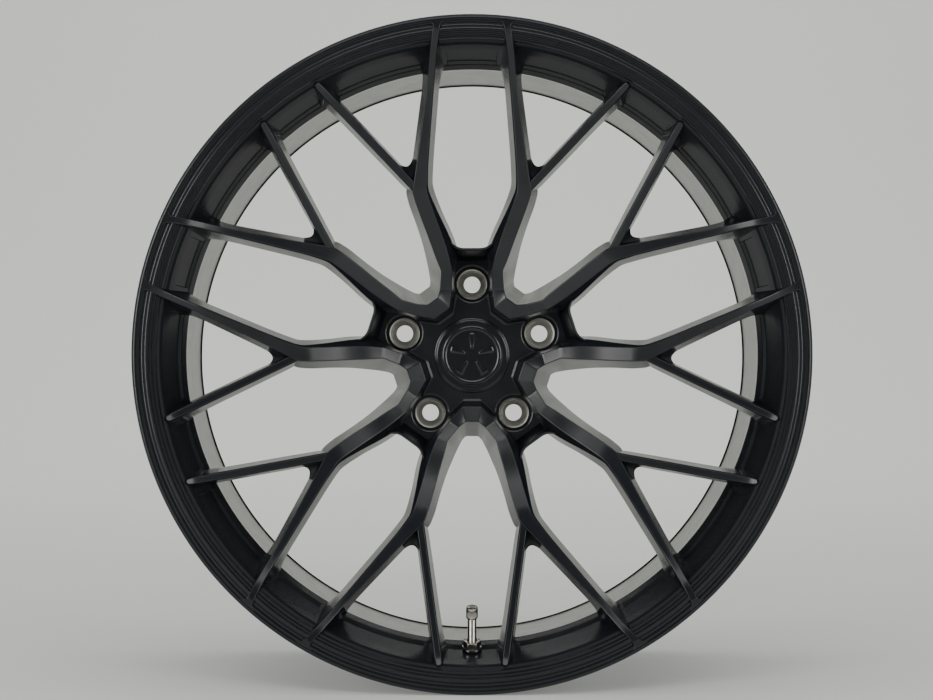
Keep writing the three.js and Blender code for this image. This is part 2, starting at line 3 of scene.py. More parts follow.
import bpy
import numpy as np
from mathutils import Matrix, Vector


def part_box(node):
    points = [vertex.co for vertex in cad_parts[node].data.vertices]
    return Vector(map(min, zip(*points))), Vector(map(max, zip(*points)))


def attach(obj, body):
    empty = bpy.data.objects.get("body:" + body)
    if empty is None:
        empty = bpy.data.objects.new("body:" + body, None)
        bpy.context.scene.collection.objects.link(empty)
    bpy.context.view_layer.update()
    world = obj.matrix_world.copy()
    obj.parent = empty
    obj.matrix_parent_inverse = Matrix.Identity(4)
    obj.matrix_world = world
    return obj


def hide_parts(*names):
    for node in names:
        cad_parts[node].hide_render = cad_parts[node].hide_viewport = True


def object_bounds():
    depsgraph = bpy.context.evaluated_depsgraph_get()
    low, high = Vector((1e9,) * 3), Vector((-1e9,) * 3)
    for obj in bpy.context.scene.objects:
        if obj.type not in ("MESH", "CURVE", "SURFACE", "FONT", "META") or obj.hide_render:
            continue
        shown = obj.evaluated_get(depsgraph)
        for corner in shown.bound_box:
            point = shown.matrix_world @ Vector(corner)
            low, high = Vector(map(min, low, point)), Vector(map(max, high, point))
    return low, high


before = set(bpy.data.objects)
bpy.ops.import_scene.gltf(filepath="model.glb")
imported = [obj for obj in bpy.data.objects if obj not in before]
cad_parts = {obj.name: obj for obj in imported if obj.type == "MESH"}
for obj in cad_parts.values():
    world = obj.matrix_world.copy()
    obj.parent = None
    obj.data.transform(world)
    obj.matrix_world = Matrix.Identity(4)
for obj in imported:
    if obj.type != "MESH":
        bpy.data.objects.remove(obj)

cad_low, cad_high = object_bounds()

# ---- Studio ----
# The camera looks along the wheel's axis from about 1.76 m in front of the lip. The floor runs up into
# a curved back wall, and the light is soft: one bank overhead, one high in front, one on each side in
# front, and a wash on the back wall.
lip_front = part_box("rim_front_lip")[0].y
camera_distance = 1.757
camera = bpy.data.objects.new("camera", bpy.data.cameras.new("camera"))
camera.location = (0.001, lip_front - camera_distance, -0.014)
camera.rotation_euler = (math.radians(90), 0, 0)
camera.data.lens = 78
camera.data.sensor_width = 36
camera.data.shift_x = -0.0071
camera.data.shift_y = 0.0221
bpy.context.scene.collection.objects.link(camera)
bpy.context.scene.camera = camera
# Edges that turn by more than this stay crisp in every mesh.
sharp_from = math.radians(34)


def mesh_object(name, points, faces):
    """A mesh from points in metres and lists of three- or four-cornered faces, smooth but for its sharp
    edges. Where a closed shape's volume comes out negative, its faces are turned round."""
    corners = points[np.concatenate([f[:, :3] for f in faces])]
    volume = np.einsum("ij,ij->i", corners[:, 0], np.cross(corners[:, 1], corners[:, 2])).sum()
    volume += sum(
        np.einsum("ij,ij->i", points[f[:, 0]], np.cross(points[f[:, 2]], points[f[:, 3]])).sum()
        for f in faces if f.shape[1] == 4)
    if volume < 0:
        faces = [f[:, ::-1] for f in faces]
    counts = np.concatenate([np.full(len(f), f.shape[1]) for f in faces])
    starts = np.concatenate([[0], np.cumsum(counts)[:-1]])
    loops = np.concatenate([f.ravel() for f in faces])
    mesh = bpy.data.meshes.new(name)
    mesh.vertices.add(len(points))
    mesh.vertices.foreach_set("co", points.astype(np.float32).ravel())
    mesh.loops.add(len(loops))
    mesh.loops.foreach_set("vertex_index", loops.astype(np.int32))
    mesh.polygons.add(len(counts))
    mesh.polygons.foreach_set("loop_start", starts.astype(np.int32))
    mesh.polygons.foreach_set("use_smooth", np.ones(len(counts), bool))
    mesh.update(calc_edges=True)
    mesh.validate()
    mesh.set_sharp_from_angle(angle=sharp_from)
    made = bpy.data.objects.new(name, mesh)
    bpy.context.scene.collection.objects.link(made)
    return made


def grid_faces(rows, columns, wrap_rows, wrap_columns):
    """Four-cornered faces between neighbours of a grid of points, joined end to end where it wraps."""
    i = np.arange(rows if wrap_rows else rows - 1)[:, None]
    j = np.arange(columns if wrap_columns else columns - 1)[None, :]
    after_i, after_j = (i + 1) % rows, (j + 1) % columns
    return np.stack([
        i * columns + j, i * columns + after_j, after_i * columns + after_j, after_i * columns + j,
    ], axis=-1).reshape(-1, 4)


floor_height = cad_low.z
floor_front, half_sweep = -6.0, 3.6
wall_near, wall_radius, wall_top = 3.4, 1.6, 3.4
cove = np.linspace(0, math.pi / 2, 17)
sweep_line = np.concatenate([
    [(floor_front, 0.0), (0.0, 0.0)],
    np.stack([wall_near + wall_radius * np.sin(cove), wall_radius * (1 - np.cos(cove))], axis=1),
    [(wall_near + wall_radius, wall_top)],
])
across = np.linspace(-half_sweep, half_sweep, 3)
sweep = np.zeros((len(sweep_line), len(across), 3))
sweep[..., 0] = across
sweep[..., 1] = sweep_line[:, :1]
sweep[..., 2] = sweep_line[:, 1:] + floor_height
sweep_faces = grid_faces(*sweep.shape[:2], False, False)
floor = mesh_object("studio_sweep", sweep.reshape(-1, 3), [sweep_faces])
room_white = (0.97, 1.0, 0.95, 1)
paper = bpy.data.materials.new("studio_paper")
paper.use_nodes = True
paper_shader = paper.node_tree.nodes["Principled BSDF"]
paper_shader.inputs["Base Color"].default_value = (0.70, 0.70, 0.675, 1)
paper_shader.inputs["Roughness"].default_value = 0.9
paper_shader.inputs["Emission Color"].default_value = room_white
paper_shader.inputs["Emission Strength"].default_value = 0.155
floor.data.materials.append(paper)

world = bpy.data.worlds.new("studio")
bpy.context.scene.world = world
world.use_nodes = True
nodes, links = world.node_tree.nodes, world.node_tree.links
place = nodes.new("ShaderNodeTexCoord")
split = nodes.new("ShaderNodeSeparateXYZ")
links.new(place.outputs["Generated"], split.inputs[0])
rise = nodes.new("ShaderNodeMapRange")
rise.inputs["From Min"].default_value = -1
rise.inputs["From Max"].default_value = 1
links.new(split.outputs["Y"], rise.inputs["Value"])
# Brightness from in front of the wheel (-1) past its sides (0) to behind it (1). The camera itself sees
# one even level wherever the sweep ends.
room = nodes.new("ShaderNodeValToRGB")
room_stops = [
    (-1, 0.02), (-0.86, 0.04), (-0.5, 0.55), (-0.1, 0.8), (0.2, 0.5), (0.35, 0.04), (0.8, 0.04),
]
seen_level = 0.58
while len(room.color_ramp.elements) < len(room_stops):
    room.color_ramp.elements.new(0.5)
for element, (toward_back, level) in zip(room.color_ramp.elements, room_stops):
    element.position = (toward_back + 1) / 2
    element.color = (level, level, level, 1)
links.new(rise.outputs["Result"], room.inputs["Fac"])
seen = nodes.new("ShaderNodeLightPath")
dim = nodes.new("ShaderNodeMix")
links.new(seen.outputs["Is Camera Ray"], dim.inputs["Factor"])
links.new(room.outputs["Color"], dim.inputs["A"])
dim.inputs["B"].default_value = seen_level
links.new(dim.outputs["Result"], nodes["Background"].inputs["Strength"])
nodes["Background"].inputs["Color"].default_value = room_white


def soft_light(name, location, target, size, watts):
    """A rectangular lamp at a place, turned to face a target, with its size in metres."""
    lamp = bpy.data.lights.new(name, "AREA")
    lamp.shape = "RECTANGLE"
    lamp.size, lamp.size_y = size
    lamp.energy = watts
    lamp.color = (1.0, 1.0, 0.97)
    made = bpy.data.objects.new(name, lamp)
    made.location = location
    way = np.array(target, float) - np.array(location, float)
    made.rotation_euler = Vector(way).to_track_quat("-Z", "Y").to_euler()
    bpy.context.scene.collection.objects.link(made)


soft_light("overhead_bank", (0, 0.9, 2.6), (0, 0.1, 0), (3.4, 1.6), 14)
soft_light("front_top_bank", (0, -2.2, 1.7), (0, -0.1, 0), (1.8, 0.7), 16)
soft_light("left_front_bank", (-1.7, -2.2, 0.35), (0, -0.1, 0), (0.7, 1.5), 30)
soft_light("right_front_bank", (1.7, -2.2, 0.35), (0, -0.1, 0), (0.7, 1.5), 23)
soft_light("wall_wash", (0, 2.2, 3.2), (0, 4.9, 1.0), (5.0, 0.8), 74)

# ---- Rim ----
# One aluminium forging, turned on a lathe: a J flange at each end, the drop well for the tyre's beads,
# a thin barrel, and a terraced front wall that falls back to the windows. It is painted satin black.
lip_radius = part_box("rim_front_lip")[1].x * 1000
rim_width = (cad_high.y - cad_low.y) * 1000
flange_height, well_drop = 17.3, 17.2
bead_radius = lip_radius - flange_height
well_radius = bead_radius - well_drop
window_radius = 255.1
window_depth = 50


def world_points(points):
    """Wheel points (across, up, depth behind the lip, in mm) as metres in the frame's axes."""
    across, up, depth = np.moveaxis(points, -1, 0)
    return np.stack([across, depth - rim_width / 2, up], axis=-1).reshape(-1, 3) / 1000


def rounded(corners, reach, steps=2, closed=True):
    """Each corner of a row of points becomes a small curve: c + (1-t)^2 a + t^2 b, where a and b run from
    the corner c towards its neighbours as far as the reach, with one more point beyond each end to keep
    the straight stretches straight. An open row keeps its two end points. Points lie along axis 0."""
    most_of_a_side, beyond = 0.45, 1.1
    reach = np.broadcast_to(reach, corners.shape[:-1])[..., None]

    def towards(neighbour):
        way = neighbour - corners
        length = np.maximum(np.linalg.norm(way, axis=-1, keepdims=True), 1e-9)
        return way / length * np.minimum(reach, most_of_a_side * length)

    before, after = towards(np.roll(corners, 1, axis=0)), towards(np.roll(corners, -1, axis=0))
    t = np.linspace(0, 1, steps + 1)
    weight_before = np.concatenate([[beyond], (1 - t) ** 2, [0]])
    weight_after = np.concatenate([[0], t ** 2, [beyond]])
    shape = (1, -1) + (1,) * (corners.ndim - 1)
    curves = (corners[:, None] + weight_before.reshape(shape) * before[:, None]
              + weight_after.reshape(shape) * after[:, None])
    if not closed:
        middle = curves[1:-1].reshape(-1, *corners.shape[1:])
        return np.concatenate([corners[:1], middle, corners[-1:]])
    return curves.reshape(-1, *corners.shape[1:])


def turned(name, loop, angles, lift=None):
    """A closed loop of (radius, depth) carried round the wheel's axis. lift may change the loop by angle."""
    radius = np.repeat(loop[None, :, 0], len(angles), axis=0)
    depth = np.repeat(loop[None, :, 1], len(angles), axis=0)
    if lift is not None:
        radius, depth = lift(radius, depth, angles[:, None])
    turn = angles[:, None]
    points = np.stack([radius * np.sin(turn), radius * np.cos(turn), depth], axis=-1)
    return mesh_object(name, world_points(points), [grid_faces(*radius.shape, True, True)])


def paint(name, colour, roughness, metallic=0.0, mottle=0.12, grain=0.00002, grain_scale=1400, gloss=0.5):
    """A finish with a slightly uneven colour and roughness from broad noise, and a fine grain as bump."""
    tint_scale, rough_scale, rough_share = 14, 55, 0.07
    made = bpy.data.materials.new(name)
    made.use_nodes = True
    tree = made.node_tree
    shader = tree.nodes["Principled BSDF"]
    place = tree.nodes.new("ShaderNodeTexCoord")

    def noise(scale, detail):
        made_noise = tree.nodes.new("ShaderNodeTexNoise")
        made_noise.inputs["Scale"].default_value = scale
        made_noise.inputs["Detail"].default_value = detail
        tree.links.new(place.outputs["Object"], made_noise.inputs["Vector"])
        return made_noise.outputs["Fac"]

    def spread(value, low, high):
        made_range = tree.nodes.new("ShaderNodeMapRange")
        made_range.inputs["From Min"].default_value = 0.3
        made_range.inputs["From Max"].default_value = 0.7
        made_range.inputs["To Min"].default_value = low
        made_range.inputs["To Max"].default_value = high
        tree.links.new(value, made_range.inputs["Value"])
        return made_range.outputs["Result"]

    tint = tree.nodes.new("ShaderNodeMix")
    tint.data_type = "RGBA"
    tint.inputs["A"].default_value = (*[c * (1 - mottle) for c in colour], 1)
    tint.inputs["B"].default_value = (*[c * (1 + mottle) for c in colour], 1)
    tree.links.new(spread(noise(tint_scale, 4), 0, 1), tint.inputs["Factor"])
    tree.links.new(tint.outputs["Result"], shader.inputs["Base Color"])
    uneven = spread(noise(rough_scale, 3), roughness * (1 - rough_share), roughness * (1 + rough_share))
    tree.links.new(uneven, shader.inputs["Roughness"])
    bump = tree.nodes.new("ShaderNodeBump")
    bump.inputs["Strength"].default_value = 0.5
    bump.inputs["Distance"].default_value = grain
    tree.links.new(noise(grain_scale, 2), bump.inputs["Height"])
    tree.links.new(bump.outputs["Normal"], shader.inputs["Normal"])
    shader.inputs["Metallic"].default_value = metallic
    shader.inputs["Specular IOR Level"].default_value = gloss
    return made


def finish_piece(piece, material, body, slot, *replaced):
    """Give a piece its material and the body it rides on, and hide the CAD nodes it stands for. The slot is
    not used.
    """
    piece.data.materials.append(material)
    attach(piece, body)
    if replaced:
        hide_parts(*replaced)


satin_black = paint("satin_black_paint", (0.0090, 0.0103, 0.0136), 0.25, gloss=0.42)

# Radius beyond the lip's and depth of a flange, from its face round to the bead seat.
flange_shape = np.array([
    (-2.5, 0), (-0.6, 0.9), (0, 3), (0, 9), (-1.5, 12), (-5.2, 13.3), (-12.7, 13.7), (-16.3, 15.3),
    (-flange_height, 18.3),
], float)
front_flange = flange_shape + (lip_radius, 0)
rear_flange = (flange_shape * (1, -1) + (lip_radius, rim_width))[::-1]
# The front wall from the window edge out to the lip: distance in from the lip, and depth.
pocket_rows = [(37.7, 42.3), (37.0, 40.7), (29.5, 23.4), (28.9, 22.1)]
terraces = [
    (38.4, 43.4), *pocket_rows, (28, 20), (24.3, 12), (20.7, 8), (20.2, 6.1), (17.4, 6), (17, 4.1),
    (14.7, 4), (14.3, 1.8), (11.9, 1.8), (9.1, 3.5), (7.3, 3.5), (6.8, 1.6), (4, 1.5), (3.5, 0),
]
front_wall = np.array([(lip_radius - inset, depth) for inset, depth in terraces])
seat_end = (bead_radius - 1.7, 38)
well_front = (well_radius, 47)
window_edge = (window_radius, window_depth)
face_loop = np.concatenate([front_flange, [seat_end, well_front, window_edge], front_wall])
# How far the rounding of each corner reaches: flange, well, the wall's foot and pocket rows, terraces.
foot_reach = [1.0, 0.1, 0.1, 0.1, 0.1, 4.0, 2.0]
face_reach = np.concatenate([
    np.full(len(front_flange), 1.2), [4, 0.5, 1.0], foot_reach,
    np.full(len(front_wall) - len(foot_reach), 0.6),
])
# The pockets sink square to the wall, which runs 10 across for each 23 of depth.
pocket_sink = 2.2
pocket_normal = np.array([23, 10]) / math.hypot(23, 10)
pocket_out, pocket_in = pocket_rows[-1][0], pocket_rows[0][0]
out_slope, in_slope = pocket_rows[-2][0] - pocket_out, pocket_in - pocket_rows[1][0]
# The pockets lie between these depths, so the flange in front of them and the well behind stay as turned.
wall_front, wall_back = 21, 43
narrow_bay = math.radians(4.85)
wide_bay = np.radians([9.7, 26.7])
edge_turn = math.radians(0.14)
sector = math.radians(36)


def pocket_share(angle):
    """One inside a wall pocket and zero outside it, for an angle from the nearest lug, folded to a half
    sector: narrow pockets lie round the lug line and round the rib line, a wide one lies between them."""
    folded = np.abs((angle + sector) % (2 * sector) - sector)

    def inside(low, high):
        return np.clip((folded - low) / edge_turn, 0, 1) * np.clip((high - folded) / edge_turn, 0, 1)

    return inside(-1, narrow_bay) + inside(*wide_bay) + inside(sector - narrow_bay, sector + 1)


def sunk_pockets(radius, depth, angle):
    """The front wall with its pockets pressed in, each with a short slope at both ends of its rows."""
    inset = lip_radius - radius
    along = np.clip((inset - pocket_out) / out_slope, 0, 1)
    along = along * np.clip((pocket_in - inset) / in_slope, 0, 1)
    along = along * (depth > wall_front) * (depth < wall_back)
    sink = pocket_sink * along * pocket_share(angle)
    return radius + sink * pocket_normal[0], depth + sink * pocket_normal[1]


edges = np.concatenate([[narrow_bay], wide_bay, [sector - narrow_bay]])
half_turn = np.unique(np.concatenate([
    np.linspace(0, sector, 31), edges, edges + edge_turn * np.array([-1, 1, -1, 1])]))
turn_steps = np.unique(np.round(np.concatenate([
    side * half_turn + 2 * sector * k for k in range(5) for side in (1, -1)]) % (10 * sector), 9))
rim_face = turned("rim_face", rounded(face_loop, face_reach), turn_steps, sunk_pockets)
finish_piece(rim_face, satin_black, "forging", "forging_paint", "rim_front_lip")

# The tyre side of the well and barrel, and the barrel's inside from the rear back to the windows.
barrel_outer = [
    window_edge, well_front, (well_radius, 70), (bead_radius - 3.4, 92),
    (bead_radius - 2, rim_width - 43), (bead_radius - 1.7, rim_width - 39),
]
barrel_inner = np.array([
    (bead_radius + 6, rim_width), (bead_radius + 1.6, rim_width - 2), (bead_radius - 4, rim_width - 6),
    (bead_radius - 7.2, rim_width - 9.5), (bead_radius - 7.4, rim_width - 11),
    (bead_radius - 6.2, rim_width - 12), (bead_radius - 8.1, 96), (well_radius - 4.7, 72),
    (window_radius + 0.5, 56),
])
barrel_loop = np.concatenate([barrel_outer, rear_flange, barrel_inner])
barrel_reach = np.concatenate([
    [0.05, 0.5, 5, 5, 5, 2], np.full(len(rear_flange), 1.2), np.full(3, 1.5), np.full(3, 0.3), [6, 4, 2],
])
barrel_turns = np.linspace(0, 2 * np.pi, 360, endpoint=False)
rim_barrel = turned("rim_barrel_shell", rounded(barrel_loop, barrel_reach, 3), barrel_turns)
finish_piece(rim_barrel, satin_black, "forging", "forging_paint",
             "rim_well", "rim_well_ramp", "rim_barrel", "rim_rear_flange")

# ---- Arm pairs ----
# Neighbouring arms of two lugs meet in a U-shaped rib at the hub, so each pair is one milled run of
# metal from lip to lip: a flat face that rises outwards, a sloped flank on its lug side, and walls
# that spread towards the back.
turn_of = 2 * sector * np.arange(5)


def spun(points, angle):
    """Wheel points turned clockwise, seen from the front, by an angle in radians."""
    across, up, depth = np.moveaxis(points, -1, 0)
    return np.stack([across * np.cos(angle) + up * np.sin(angle),
                     up * np.cos(angle) - across * np.sin(angle), depth], axis=-1)


def carried(name, sections, angle=0.0):
    """A skin through closed sections (stations, points, 3) in mm, ended by a fan of triangles at each end."""
    stations, around = sections.shape[:2]
    ends = sections[[0, -1]].mean(axis=1)
    points = np.concatenate([sections.reshape(-1, 3), ends])
    ring = np.arange(around)
    after = (ring + 1) % around
    last = (stations - 1) * around
    near = np.stack([np.full(around, stations * around), after, ring], axis=1)
    far = np.stack([np.full(around, stations * around + 1), last + ring, last + after], axis=1)
    faces = [grid_faces(stations, around, False, True), near, far]
    return mesh_object(name, world_points(spun(points, angle)), faces)


def filled(points, spacing, closed=True):
    """Rows of points along axis 0 with evenly spaced rows added by straight lines between neighbours, as
    many in each gap as its longest line needs. A closed run has one more gap, from last row to first."""
    following = np.roll(points, -1, axis=0)
    longest = np.linalg.norm(following - points, axis=-1).reshape(len(points), -1).max(axis=1)
    counts = np.maximum(np.ceil(longest / spacing).astype(int), 1)
    if not closed:
        counts[-1] = 1
    shares = np.concatenate([np.arange(n) / n for n in counts]).reshape(-1, *[1] * (points.ndim - 1))
    return np.repeat(points, counts, axis=0) * (1 - shares) + np.repeat(following, counts, axis=0) * shares


lug_circle_radius = 65
lug_pocket_radius = 16.4


def clear_of_pockets(points):
    """Points nearer to a lug's axis than the pocket's wall are moved straight out to the wall."""
    for turn in turn_of:
        lug = lug_circle_radius * np.array([math.sin(turn), math.cos(turn)])
        away = points[..., :2] - lug
        distance = np.maximum(np.linalg.norm(away, axis=-1, keepdims=True), 1e-6)
        moved = lug + away * np.maximum(lug_pocket_radius / distance, 1)
        points = np.concatenate([moved, points[..., 2:]], axis=-1)
    return points


# Each row of the right-hand arm of the top lug, from the rib's corner out to the lip: across, up and
# depth of its lug-side back edge, foot of the flank, face edge on the lug side, other face edge, other
# back edge.
arm_rows = np.array([
    [(18.3, 39.2, 119), (18.3, 39.2, 86.8), (20.2, 42.3, 62.6), (30.6, 51.7, 59.0), (39.8, 64.6, 119)],
    [(15.2, 58.0, 119), (15.2, 58.0, 86.8), (18.1, 60.0, 61.7), (28.6, 59.2, 60.2), (39.3, 69.5, 118)],
    [(14.4, 77.0, 115), (14.4, 77.0, 86), (17.8, 77.4, 54), (27.4, 74.9, 54), (41.0, 79.5, 110)],
    [(12.4, 95.5, 98), (13.9, 92.2, 60), (21.1, 89.5, 50.3), (31.9, 85.6, 50.3), (42.6, 87.5, 103)],
    [(17.3, 110.5, 90), (21.2, 109.0, 53), (26.8, 107.0, 45.7), (38.2, 103.0, 45.7), (45.5, 101.0, 92)],
    [(25.8, 127.7, 73), (29.8, 126.3, 45.5), (33.3, 125.0, 39.0), (45.0, 120.8, 39.0), (51.3, 118.7, 73)],
    [(31.5, 141.8, 62), (36.6, 140.8, 36.5), (38.7, 140.0, 33.6), (50.3, 136.0, 33.6), (57.1, 133.5, 62)],
    [(35.0, 152.5, 58), (39.0, 147.2, 34.0), (40.5, 146.2, 32.0), (52.9, 145.0, 32.0), (60.5, 146.5, 58)],
    [(34.6, 165.0, 55), (38.9, 163.0, 31.5), (39.9, 162.0, 29.6), (50.0, 162.4, 29.6), (56.0, 163.0, 55)],
    [(33.7, 180.0, 53), (37.9, 178.0, 28.8), (38.9, 177.0, 27.2), (47.7, 177.6, 27.2), (53.4, 178.0, 53)],
    [(31.1, 212.0, 50), (35.3, 212.0, 23.8), (36.3, 211.5, 22.3), (42.8, 212.3, 22.3), (48.7, 212.0, 50)],
    [(28.9, 240.0, 50), (33.0, 240.0, 18.2), (33.7, 239.7, 17.0), (38.9, 240.3, 17.0), (45.0, 240.0, 50)],
    [(26.9, 251.6, 50), (31.3, 258.0, 11.6), (32.0, 257.8, 10.4), (37.4, 258.3, 10.4), (44.6, 250.8, 50)],
    [(24.0, 256.5, 47), (29.6, 272.0, 4.7), (30.2, 271.8, 3.6), (35.7, 272.4, 3.6), (48.0, 254.6, 47)],
    [(24.3, 276.5, 14), (27.9, 284.0, 1.9), (28.4, 284.0, 0.9), (34.1, 284.4, 0.9), (38.5, 275.0, 14)],
    [(24.5, 286.0, 12), (26.9, 287.6, 1.8), (27.4, 287.6, 0.8), (33.8, 287.0, 0.8), (38.5, 284.0, 12)],
    [(23.5, 290.0, 9), (24.9, 290.3, 1.6), (25.5, 290.3, 0.7), (35.5, 289.2, 0.7), (38.5, 288.5, 9)],
    [(20.5, 292.3, 8), (20.7, 292.3, 1.7), (21.2, 292.3, 0.7), (39.6, 290.5, 0.7), (40.5, 290.4, 8)],
])
# A chamfer at the rib's foot, or a step on the lug side further out, gives each row one more corner.
rows_on_hub, toe_reach, toe_depth, heel_depth, step_share = 2, 1.3, 88.9, 119, 0.2
foot, face_edge = arm_rows[:, 1], arm_rows[:, 2]
foot_out = foot + (foot - face_edge) * (1, 1, 0) * toe_reach
foot_out[:, 2] = toe_depth
on_hub = (np.arange(len(arm_rows)) < rows_on_hub)[:, None]
toe = np.where(on_hub, foot_out, foot + (arm_rows[:, 0] - foot) * step_share)
heel = np.where(on_hub, foot_out * (1, 1, 0) + (0, 0, heel_depth), arm_rows[:, 0])
arm_rows = np.concatenate([heel[:, None], toe[:, None], arm_rows[:, 1:]], axis=1)
edge_rounding = np.array([2.0, 0.8, 0.9, 0.75, 0.75, 4.0])
path_rounding = np.array([1.2, 1.6, 2.2, 5, 9, 9, 4, 4.5, 9, 9, 9, 9, 6, 6, 3, 1.6, 1.4, 1.0])
# The pair is built about the line of its rib, where the second arm mirrors the first, and turned back.
half_pair = spun(arm_rows, -sector)
pair_rows = np.concatenate([half_pair[::-1], half_pair * (-1, 1, 1)])
pair_reach = np.concatenate([path_rounding[::-1], path_rounding])[:, None]
pair_path = rounded(pair_rows, np.broadcast_to(pair_reach, pair_rows.shape[:2]), 4, closed=False)
pair_around = filled(rounded(np.moveaxis(pair_path, 1, 0), edge_rounding[:, None], 4), spacing=4)
pair_along = filled(np.moveaxis(pair_around, 0, 1), spacing=3, closed=False)
pair_sections = clear_of_pockets(spun(pair_along, sector))
for k, angle in enumerate(turn_of):
    following = (k + 1) % 5 + 1
    pair = carried(f"arm_pair_{k + 1}", pair_sections, angle)
    finish_piece(pair, satin_black, "forging", "forging_paint",
                 f"spoke_{k + 1}_right", f"spoke_{following}_left", f"hub_rib_{k + 1}")

# ---- Branches ----
# Each arm forks: a slimmer branch leaves its outer side at the kink and runs straight to the front
# wall, where its rounded tip dies out under the terraces. A low web fills the bottom of the fork.
branch_start = np.array([46.0, 143.3])
branch_way = np.array([0.695, 0.719])
branch_right = np.array([branch_way[1], -branch_way[0]])
# Distance along the branch, half width and depth of its face, half width and depth of its back.
branch_stations = np.array([
    (0, 2.8, 33.8, 4.0, 50), (14.4, 2.8, 31.3, 6.2, 57), (46.6, 2.7, 26.4, 6.6, 52),
    (85, 2.6, 20.2, 6.6, 50), (108, 2.6, 15.7, 6.8, 50), (114.5, 2.6, 14.2, 7.6, 50),
    (119, 2.6, 13.1, 9.8, 42.5), (124, 2.55, 11.6, 8.0, 34), (128.5, 2.3, 9.4, 5.0, 20),
    (129.6, 1.2, 8.9, 3.0, 14),
])
chamfer_width, chamfer_drop = 0.9, 1.4


def branch_row(station):
    """Corners of the section across a branch: back, shoulder, face edge, and the same on the other side."""
    along, face_half, face_depth, back_half, back_depth = station
    shoulder_half, shoulder_depth = face_half + chamfer_width, face_depth + chamfer_drop
    offsets = np.array([-back_half, -shoulder_half, -face_half, face_half, shoulder_half, back_half])
    depths = np.array([back_depth, shoulder_depth, face_depth, face_depth, shoulder_depth, back_depth])
    plan = branch_start + branch_way * along + branch_right * offsets[:, None]
    return np.concatenate([plan, depths[:, None]], axis=1)


branch_rows = np.array([branch_row(station) for station in branch_stations])
branch_path = rounded(branch_rows, np.broadcast_to(3.0, branch_rows.shape[:2]), 3, closed=False)
branch_rounding = np.array([3.0, 0.6, 0.6, 0.6, 0.6, 3.0])[:, None]
branch_sections = np.moveaxis(rounded(np.moveaxis(branch_path, 1, 0), branch_rounding, 4), 0, 1)

fork_middle, fork_radius = np.array([59.8, 174.1]), 6.5
fork_turn = np.radians(np.linspace(180, 316, 17))
fork_arc = fork_middle + fork_radius * np.stack([np.cos(fork_turn), np.sin(fork_turn)], axis=1)
fork_corners = [(49, 174), (46, 160), (52, 152), (60, 158), (67.5, 165.5)]
fork_outline = np.concatenate([fork_corners, fork_arc[::-1]])
fork_inward = np.array([54.0, 160.0]) - fork_outline
fork_inward /= np.linalg.norm(fork_inward, axis=1, keepdims=True)
# How far each layer of the web is drawn in from its outline, and its depth.
fork_layers = [(1.6, 39.6), (0.6, 39.9), (0.15, 40.6), (0.0, 42.0), (0.0, 54.0), (0.8, 56.4), (2.4, 57.2)]
fork_sections = np.array([
    np.concatenate([fork_outline + inset * fork_inward, np.full((len(fork_outline), 1), depth)], axis=1)
    for inset, depth in fork_layers])
for k, angle in enumerate(turn_of):
    for side, flip in (("right", 1), ("left", -1)):
        branch = carried(f"branch_{k + 1}_{side}_arm", branch_sections * (flip, 1, 1), angle)
        finish_piece(branch, satin_black, "forging", "forging_paint", f"branch_{k + 1}_{side}")
        fork = carried(f"fork_web_{k + 1}_{side}", fork_sections * (flip, 1, 1), angle)
        finish_piece(fork, satin_black, "forging", "forging_paint")

# ---- Hub ----
# The hub is the thick middle of the same forging. Each fifth of it surrounds one lug: a pocket with the
# lug's seat at its bottom, the bore for the centre cap, the rear mounting face and its spigot bore.
face_depth = 88
pad_depth = 120
seat_depth = 96.5
cap_radius = 34.2
cap_bore_radius = 31.8
spigot_radius = 35.8
bolt_radius = 8.0
sleeve_bore_radius = 14.1
sleeve_end = 112.3
half_width, waist, block_end = 19, 66, 86.5


def stretch(start, end, count):
    """Evenly spaced points from one corner up to, but not at, the next one."""
    share = np.linspace(0, 1, count, endpoint=False)[:, None]
    return np.array(start) * (1 - share) + np.array(end) * share


def hub_outline(inner, outer):
    """Plan of a fifth of the hub about the top lug: the cap bore's arc, a straight side to the shoulder
    under the rib, a step in to the lug's web, and round to the same on the other side."""
    shoulder = 62.0
    turn = np.linspace(-sector, sector, 33)
    arc = inner * np.stack([np.sin(turn), np.cos(turn)], axis=1)[:-1]
    side = np.array([math.sin(sector), math.cos(sector)])
    corners = [inner * side, shoulder * side, (half_width, waist), (half_width, outer),
               (-half_width, outer), (-half_width, waist), shoulder * side * (-1, 1), inner * side * (-1, 1)]
    counts = (14, 8, 14, 28, 14, 8, 14)
    runs = [stretch(a, b, count) for a, b, count in zip(corners, corners[1:], counts)]
    return np.concatenate([arc, *runs])


# Inner arc radius, outer edge and depth of each row down the outside of a hub fifth.
hub_rows = [
    (cap_radius + 0.7, block_end, face_depth), (cap_radius + 0.3, block_end, face_depth + 0.4),
    (cap_radius + 0.3, block_end, face_depth + 4.2), (cap_bore_radius + 0.3, block_end, face_depth + 4.2),
    (cap_bore_radius, block_end, face_depth + 4.5), (cap_bore_radius, 84, 104), (spigot_radius, 84, 104),
    (spigot_radius, 76, pad_depth - 0.6), (spigot_radius + 0.6, 75.4, pad_depth),
]
